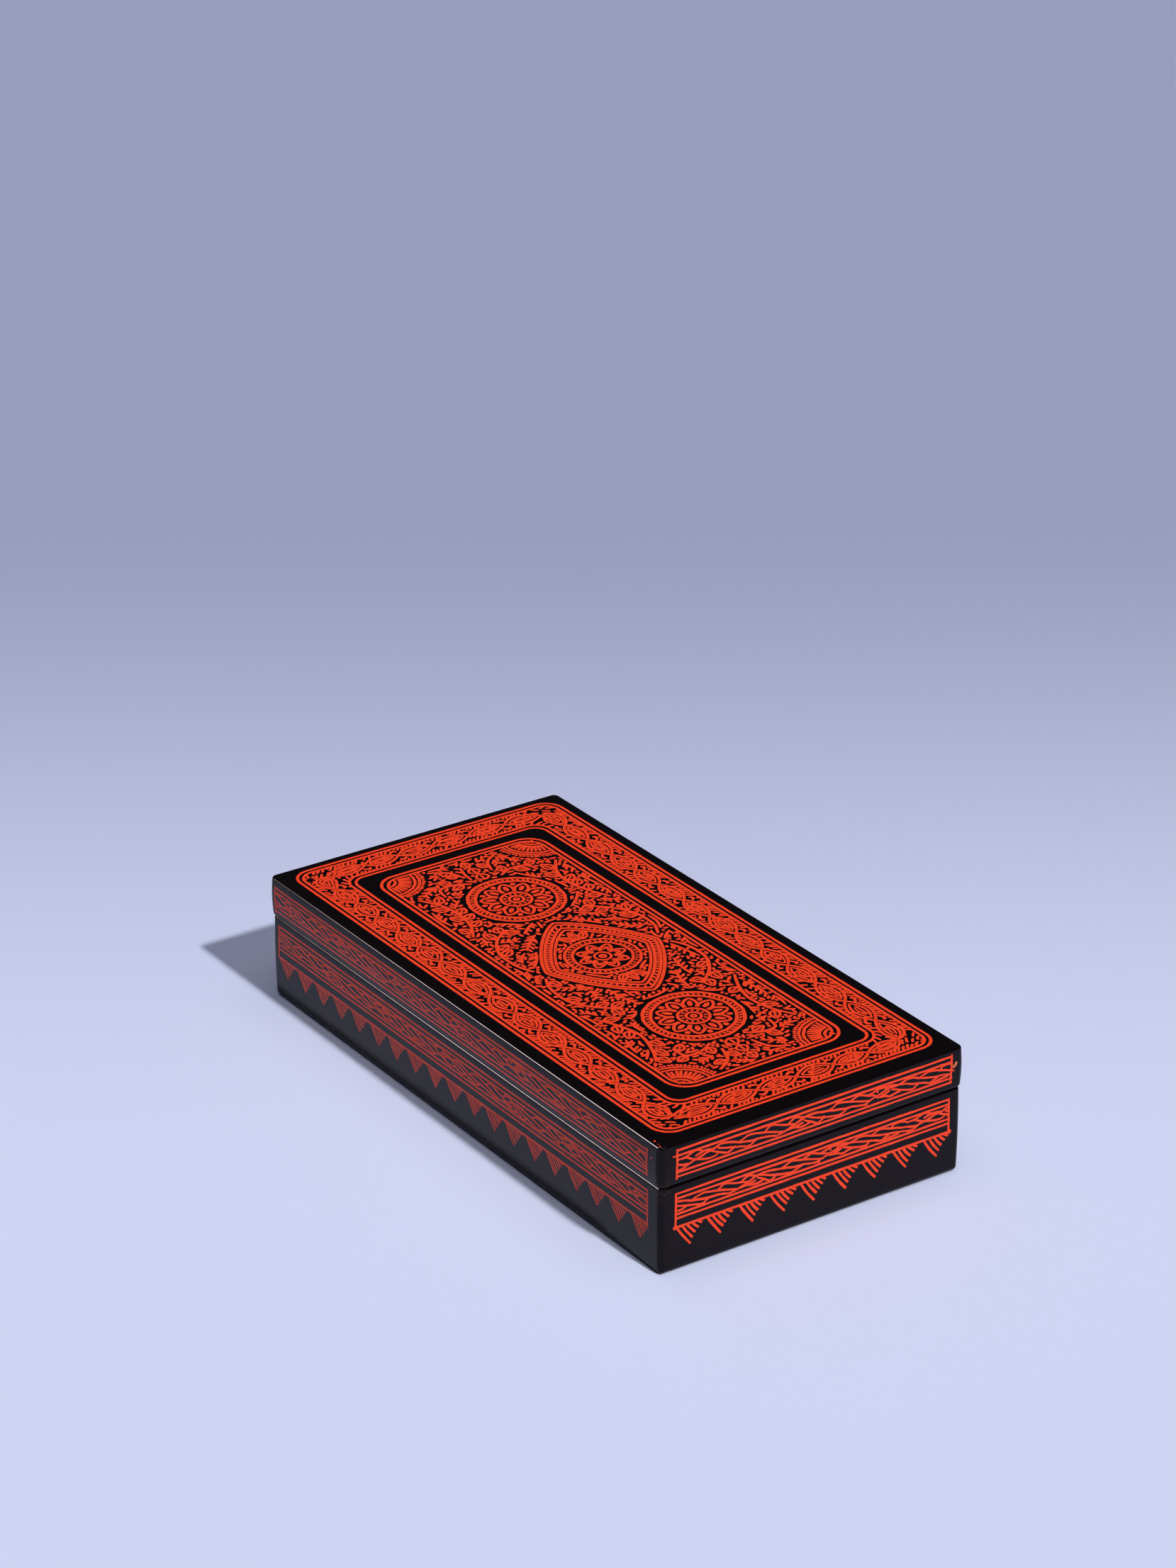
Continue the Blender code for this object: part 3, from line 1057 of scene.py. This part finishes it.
# %% Strokes of the twisted cord
# Three lengths of the cord, which take turns: for each stroke, its points as (mm along, share of the
# height). The first stroke of each is the rising one, which bends over and falls to the next length.
CORD = (
    (((1.2, 0.09), (3.7, 0.17), (6.0, 0.34), (8.1, 0.44), (10.2, 0.51), (12.1, 0.63), (14.4, 0.67),
      (16.3, 0.77), (17.7, 0.86), (20.0, 0.78), (22.3, 0.68), (24.6, 0.56), (26.7, 0.49), (28.8, 0.41),
      (31.8, 0.37), (33.7, 0.34), (35.8, 0.29), (37.7, 0.22), (39.3, 0.14)),
     ((1.0, 0.74), (3.0, 0.75), (4.6, 0.71), (6.5, 0.53), (7.9, 0.42), (10.0, 0.32), (11.6, 0.26),
      (13.2, 0.22), (14.9, 0.23), (16.3, 0.31)),
     ((1.0, 0.47), (3.3, 0.35), (5.6, 0.30)),
     ((3.0, 0.77), (4.6, 0.79), (6.5, 0.91), (8.1, 0.97), (9.5, 0.90), (10.7, 0.78), (13.0, 0.74),
      (14.4, 0.72)),
     ((7.7, 0.63), (9.3, 0.70), (11.2, 0.76), (13.2, 0.77)),
     ((13.7, 0.65), (14.9, 0.53), (16.3, 0.40), (18.1, 0.28), (20.0, 0.18), (21.6, 0.26), (23.3, 0.40)),
     ((16.3, 0.65), (18.6, 0.55), (20.9, 0.44), (23.0, 0.33), (25.6, 0.23), (27.4, 0.15), (28.8, 0.14),
      (30.2, 0.27), (31.9, 0.38)),
     ((24.4, 0.57), (26.3, 0.70), (27.9, 0.78), (29.3, 0.79), (31.1, 0.75), (33.5, 0.65), (35.8, 0.56),
      (38.1, 0.44), (40.9, 0.30), (42.8, 0.26)),
     ((33.9, 0.60), (35.6, 0.81), (37.2, 0.91), (39.3, 0.81), (41.6, 0.68), (43.5, 0.61), (45.1, 0.53),
      (46.3, 0.49))),
    (((3.2, 0.19), (5.7, 0.25), (8.0, 0.37), (9.8, 0.47), (11.4, 0.57), (13.0, 0.69), (14.8, 0.74),
      (16.8, 0.75), (18.6, 0.73), (20.5, 0.66), (22.7, 0.60), (25.0, 0.52), (27.3, 0.44), (29.5, 0.39),
      (31.8, 0.37), (33.9, 0.29), (36.0, 0.23), (38.2, 0.15)),
     ((7.3, 0.62), (8.8, 0.80), (10.0, 0.87), (11.4, 0.85), (12.7, 0.75), (14.1, 0.72)),
     ((6.8, 0.29), (9.5, 0.31), (11.4, 0.37), (13.0, 0.42)),
     ((9.8, 0.29), (11.8, 0.21), (13.2, 0.19), (14.8, 0.24), (16.1, 0.30)),
     ((13.4, 0.59), (15.0, 0.41), (16.6, 0.27), (18.2, 0.11), (19.1, 0.09), (20.5, 0.24), (21.5, 0.39)),
     ((14.3, 0.70), (16.4, 0.56), (18.2, 0.45), (20.0, 0.35), (21.8, 0.27), (24.5, 0.19), (27.0, 0.12),
      (28.6, 0.19), (30.2, 0.31), (31.5, 0.38)),
     ((22.7, 0.61), (24.5, 0.70), (26.1, 0.85), (27.7, 0.85), (29.5, 0.78), (31.4, 0.69), (33.4, 0.59),
      (35.5, 0.49), (37.5, 0.39), (39.5, 0.33)),
     ((31.0, 0.70), (32.7, 0.81), (34.5, 0.90), (36.4, 0.81), (38.2, 0.70), (40.5, 0.59), (42.0, 0.46))),
    (((0.0, 0.18), (2.0, 0.28), (4.1, 0.41), (6.4, 0.51), (8.4, 0.61), (10.2, 0.69), (12.7, 0.71),
      (15.0, 0.75), (16.8, 0.85), (18.4, 0.89), (20.5, 0.81), (22.3, 0.71), (24.8, 0.59), (27.0, 0.50),
      (29.3, 0.42), (31.8, 0.38), (34.1, 0.30), (36.4, 0.22), (38.6, 0.14)),
     ((2.0, 0.70), (4.1, 0.76), (5.9, 0.87), (7.7, 0.88), (10.0, 0.86), (12.0, 0.82), (13.9, 0.71)),
     ((5.5, 0.37), (7.5, 0.36), (9.1, 0.31), (11.1, 0.20), (13.4, 0.27), (15.2, 0.30)),
     ((6.0, 0.78), (6.1, 0.66)),
     ((9.1, 0.83), (9.1, 0.66)),
     ((7.3, 0.39), (9.1, 0.47), (10.9, 0.56)),
     ((11.4, 0.59), (13.2, 0.48), (15.5, 0.33), (17.7, 0.22), (19.8, 0.16), (21.1, 0.26), (22.2, 0.40)),
     ((14.5, 0.71), (17.3, 0.61), (19.5, 0.49), (21.8, 0.40), (24.1, 0.30), (26.8, 0.16), (28.2, 0.26),
      (29.8, 0.36)),
     ((21.8, 0.70), (23.9, 0.78), (25.7, 0.90), (27.3, 0.88), (29.1, 0.80), (30.7, 0.72), (32.7, 0.63),
      (35.0, 0.52), (37.4, 0.45)),
     ((30.5, 0.73), (31.1, 0.86), (32.2, 0.94), (34.1, 0.96), (35.8, 0.86), (37.4, 0.75)),
     ((27.0, 0.12), (29.3, 0.16), (31.8, 0.19), (34.1, 0.22))),
)
CORD_LENGTH = 36.0  # mm from the start of one length to the start of the next, as drawn above
print("strokes in the three lengths of cord:", [len(strokes) for strokes in CORD])

# %% Tools for the side bands
SWAY = 0.05  # mm that a line strays to either side


def trimmed(points, left, right):
    """The part of a stroke that lies between two uprights."""
    kept = []
    for here, there in zip(points, points[1:]):
        if left <= here[0] <= right:
            kept.append(here)
        for edge in (left, right):
            if (here[0] - edge) * (there[0] - edge) < 0:
                kept.append(here.lerp(there, (edge - here[0]) / (there[0] - here[0])))
    if left <= points[-1][0] <= right:
        kept.append(points[-1])
    return kept


def twisted_cord(sheet, left, right, low, high, starts, width):
    """The twisted cord between two ruled lines, from the places where its lengths start."""
    for number, (start, following) in enumerate(zip(starts, starts[1:])):
        stretch = (following - start) / CORD_LENGTH
        for places in CORD[number % len(CORD)]:
            shaken = [Vector((start + (x + hand.uniform(-0.2, 0.2)) * stretch,
                              low + (high - low) * (share + hand.uniform(-0.012, 0.012))))
                      for x, share in places]
            points = trimmed(smooth(shaken, 3), left, right)
            if len(points) > 1:
                cut(sheet, points, width * hand.uniform(0.93, 1.07), 0.8, 0.8)


def ruled(sheet, left, right, z, width):
    """A ruled line from upright to upright, with a slight sway."""
    count = 24
    points = [Vector((left + (right - left) * step / count, z + hand.uniform(-SWAY, SWAY)))
              for step in range(count + 1)]
    cut(sheet, smooth(points, 2), width, 0.9, 0.9)


def upright(sheet, x, low, high, width, lean):
    """A line across the end of a band. Its foot leans out by lean."""
    count = 12
    points = [Vector((x + lean * (1 - step / count) + hand.uniform(-SWAY, SWAY),
                      low + (high - low) * step / count)) for step in range(count + 1)]
    cut(sheet, points, width, 0.9, 0.9)


def fringe(sheet, starts, base, tips, width):
    """Hanging triangles of slanting strokes. Tips give each stroke's start and end from its corner."""
    for start in starts:
        for across, end_across, drop in tips:
            top = Vector((start + across + hand.uniform(-0.12, 0.12), base + 0.2))
            end = Vector((start + end_across + hand.uniform(-0.15, 0.15),
                          base - drop * hand.uniform(0.95, 1.04)))
            bow = Vector((top.y - end.y, end.x - top.x)) * hand.uniform(-0.04, 0)
            stroke = smooth([top, (top + end) / 2 + bow, end], 3)
            cut(sheet, stroke, width * hand.uniform(0.92, 1.1), 0.85, 0.9)


print("one length of the cord, mm:", CORD_LENGTH)

# %% [markdown]
# ### The four sides
#
# The two near sides follow the real box: the height of each ruled line, the places where each length
# of the cord starts and where each triangle hangs. The strokes within a length were read off the
# right side. The two far sides were never seen, so they repeat the same bands with even margins.

# %% Where the bands lie
WALLS = {"front": EAST, "right": NORTH, "back": -EAST, "left": -NORTH}
# mm: left and right uprights, heights of the ruled lines, line width
LID_BANDS = {
    "front": (-111.2, 108.2, 32.9, 34.6, 40.0, 41.5, 0.80),
    "right": (-52.0, 53.3, 33.3, 34.9, 40.6, 42.4, 0.79),
    "back": (-109.6, 109.2, 33.0, 34.6, 40.1, 41.7, 0.80),
    "left": (-52.9, 53.1, 33.2, 34.8, 40.4, 42.1, 0.79),
}
BODY_BANDS = {
    "front": (-110.2, 107.6, 18.7, 20.3, 25.4, 27.1, 0.80),
    "right": (-52.0, 53.0, 18.6, 20.1, 25.4, 27.1, 0.82),
    "back": (-109.2, 108.8, 18.6, 20.2, 25.4, 27.1, 0.80),
    "left": (-52.5, 52.7, 18.6, 20.2, 25.4, 27.0, 0.82),
}
BASE_LINE = 15.5  # mm, height of the line that the fringe hangs from
KNOB = (-0.75, -0.3, 0.3, 0.75)  # mm, a short fat stroke that ends the base line on a short wall
FREEHAND = 0.13  # the side lines are cut with no straight edge, and their width shows it
# mm from the middle of the wall where the lengths of the cord start, on the lid and on the body
LID_CORD = {
    "front": (-150.0, -112.0, -78.5, -44.5, -9.5, 27.0, 66.5, 104.0, 141.0),
    "right": (-53.0, -17.8, 18.0, 54.0),
    "back": (-106.0, -69.0, -33.0, 3.0, 39.5, 75.0, 111.0),
    "left": (-90.0, -55.0, -20.0, 15.5, 51.0, 87.0),
}
BODY_CORD = {
    "front": (-125.0, -90.1, -53.0, -16.6, 19.8, 57.5, 92.0, 128.0),
    "right": (-70.5, -34.8, 0.4, 35.4, 71.0),
    "back": (-120.0, -84.0, -48.5, -12.0, 24.0, 60.0, 96.0, 132.0),
    "left": (-73.0, -38.0, -2.0, 33.0, 69.0),
}
# mm from the middle of the wall where the first triangle starts, how many, and the pitch
FRINGES = {"front": (-110.2, 19, 11.62), "right": (-52.4, 9, 11.9), "back": (-109.2, 19, 11.55),
           "left": (-52.6, 9, 11.75)}
# For each stroke of a triangle, mm from its corner to the top and the foot, and how deep it hangs
LONG_TIPS = ((0, 5.2, 6.5), (1.55, 5.95, 5.5), (3.1, 6.8, 4.4), (4.65, 7.6, 3.3), (6.2, 8.4, 2.2),
             (7.75, 9.2, 1.2))
SHORT_TIPS = ((0, 5.6, 7.3), (2.2, 6.4, 5.4), (4.0, 7.4, 4.0), (5.8, 8.7, 2.6), (7.6, 9.9, 1.3))

# Slips of the graver and drops of red beside the bands of the lid
SLIPS = {"front": (((-110.3, 31.2), (-109.7, 31.2)), ((110.4, 39.6), (110.6, 40.4))),
         "right": (((-53.7, 40.7), (-52.9, 40.6), (-51.8, 40.6)),
                   ((52.4, 38.0), (53.4, 37.6), (54.4, 37.2)))}
print("triangles:", {wall: count for wall, (first, count, pitch) in FRINGES.items()})

# %% Draw the four sides
# The lines run past one another by a fraction of a millimetre, as freehand ones do
for wall, across in WALLS.items():
    left, right, lowest, low, high, highest, width = LID_BANDS[wall]
    sheet = []
    for z in (lowest, low, high, highest):
        ruled(sheet, left - 0.3, right + 0.3, z, width)
    upright(sheet, left, lowest - 0.9, highest + 0.4, width, -0.2)
    upright(sheet, right, lowest - 0.3, highest + 0.7, width, -0.4)
    twisted_cord(sheet, left, right, low, high, LID_CORD[wall], width - 0.05)
    for slip in SLIPS.get(wall, ()):
        cut(sheet, [Vector(point) for point in slip], 0.6, 0.8, 0.6)
    inlay("lid_band_" + wall, sheet, lid_skin, across, UP, red_lacquer, FREEHAND)

    left, right, lowest, low, high, highest, width = BODY_BANDS[wall]
    sheet = []
    for z in (lowest, low, high, highest):
        ruled(sheet, left, right, z, width)
    ruled(sheet, left - 0.6, right + 0.6, BASE_LINE, width + 0.1)
    upright(sheet, left, BASE_LINE, highest + 0.3, width, -0.3)
    upright(sheet, right, BASE_LINE, highest + 0.4, width, 0.1)
    twisted_cord(sheet, left, right, low, high, BODY_CORD[wall], width - 0.06)
    first, count, pitch = FRINGES[wall]
    starts = [first + pitch * step + hand.uniform(-0.3, 0.3) for step in range(count)]
    if wall in ("front", "back"):
        fringe(sheet, starts, BASE_LINE, LONG_TIPS, 0.74)
    else:
        fringe(sheet, starts, BASE_LINE, SHORT_TIPS, 0.86)
        for x in (left - 0.4, right + 0.4):
            cut(sheet, [Vector((x + aside, BASE_LINE)) for aside in KNOB], 1.6, 0.5, 0.5)
    inlay("body_band_" + wall, sheet, body_skin, across, UP, red_lacquer, FREEHAND)

# %% [markdown]
# ### A chipped place
#
# On the right side, beside the far end of the lid's band, a small crescent of the top coats is
# missing, and the orange-brown undercoat shows. It is dull, since nobody has polished it. At this
# size one short stroke in a material of its own is enough.

# %% Draw the chipped place
GRITS = 2500.0  # to the metre, the clay in the undercoat, coarser than it is so that it shows
UNDERCOAT_DARK = "#8E4520"
UNDERCOAT_LIGHT = "#D0702F"

undercoat, shader = new_material("bare_brown_undercoat")
place = add_node(undercoat, "ShaderNodeTexCoord").outputs["Object"]
grit = add_node(undercoat, "ShaderNodeTexNoise", {"Scale": GRITS, "Detail": 2.0}, Vector=place)
tone = add_node(undercoat, "ShaderNodeMix",
                {"data_type": "RGBA", "A": linear(UNDERCOAT_DARK), "B": linear(UNDERCOAT_LIGHT)},
                Factor=grit.outputs["Fac"])
feed(tone.outputs["Result"], shader.inputs["Base Color"])
shader.inputs["Roughness"].default_value = 0.6
sheet = []
cut(sheet, smooth([(53.3, 38.7), (54.2, 38.8), (54.8, 39.3), (55.1, 40.2)], 4), 1.05, 0.4, 0.6)
inlay("lid_chipped_place", sheet, lid_skin, NORTH, UP, undercoat)

# %% [markdown]
# ## Tidying up
#
# The nib was only a tool, so it goes.

# %% Remove the nib
bpy.data.objects.remove(nib)
